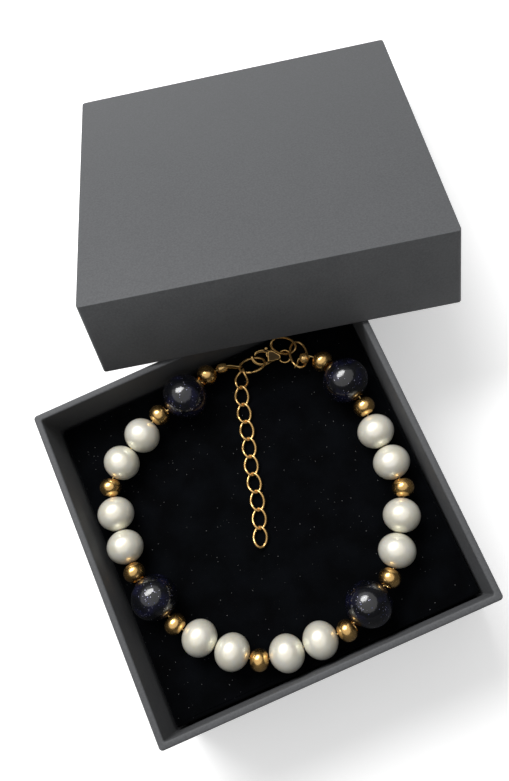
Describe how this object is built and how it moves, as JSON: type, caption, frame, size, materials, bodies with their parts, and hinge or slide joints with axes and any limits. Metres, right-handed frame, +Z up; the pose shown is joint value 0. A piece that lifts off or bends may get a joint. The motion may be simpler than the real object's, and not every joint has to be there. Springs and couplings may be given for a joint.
{
  "type": "pearl bracelet in a gift box",
  "caption": "Loop of pearls, dark glitter-flecked beads and small gold beads, closed by a lobster claw clasp with an extender chain, on the velvet pad of a small box with its lid leaning on it.",
  "frame": {"origin": "middle of the tray's underside", "axes": "+Z up; +X along the front wall of the tray; +Y from the front wall towards the back wall, under the lid"},
  "size_m": [0.113, 0.1535, 0.0549],
  "materials": {
    "paper_wrap": "satin",
    "velvet": "matte",
    "pearl": "pearly gloss",
    "goldstone": "polished, with bright flecks inside",
    "gold_plate": "polished",
    "beading_wire": "satin"
  },
  "bodies": {
    "root": {"tray": "paper_wrap", "pad": "velvet", "lid": "paper_wrap", "pearl_1": "pearl", "pearl_2": "pearl", "pearl_3": "pearl", "pearl_4": "pearl", "pearl_5": "pearl", "pearl_6": "pearl", "pearl_7": "pearl", "pearl_8": "pearl", "pearl_9": "pearl", "pearl_10": "pearl", "pearl_11": "pearl", "pearl_12": "pearl", "stone_1": "goldstone", "stone_2": "goldstone", "stone_3": "goldstone", "stone_4": "goldstone", "gold_bead_1": "gold_plate", "gold_bead_2": "gold_plate", "gold_bead_3": "gold_plate", "gold_bead_4": "gold_plate", "gold_bead_5": "gold_plate", "gold_bead_6": "gold_plate", "gold_bead_7": "gold_plate", "gold_bead_8": "gold_plate", "gold_bead_9": "gold_plate", "gold_bead_10": "gold_plate", "gold_bead_11": "gold_plate", "crimp_left": "gold_plate", "crimp_right": "gold_plate", "bead_string": "beading_wire", "ring_a": "gold_plate", "ring_b": "gold_plate", "ring_c": "gold_plate", "clasp_body": "gold_plate", "chain_link_1": "gold_plate", "chain_link_2": "gold_plate", "chain_link_3": "gold_plate", "chain_link_4": "gold_plate", "chain_link_5": "gold_plate", "chain_link_6": "gold_plate", "chain_link_7": "gold_plate", "chain_link_8": "gold_plate", "chain_link_9": "gold_plate", "chain_link_10": "gold_plate"},
    "clasp_lever": {"clasp_lever": "gold_plate"}
  },
  "joints": [
    {"name": "clasp_lever_hinge", "type": "hinge", "parent": "root", "child": "clasp_lever", "pos_m": [0.01551, 0.03153, 0.02558], "axis": [-0.1432, -0.3813, 0.9133], "range_deg": [0, 18], "stiffness_Nm_per_rad": 0.0005, "springref_deg": -11.46}
  ]
}
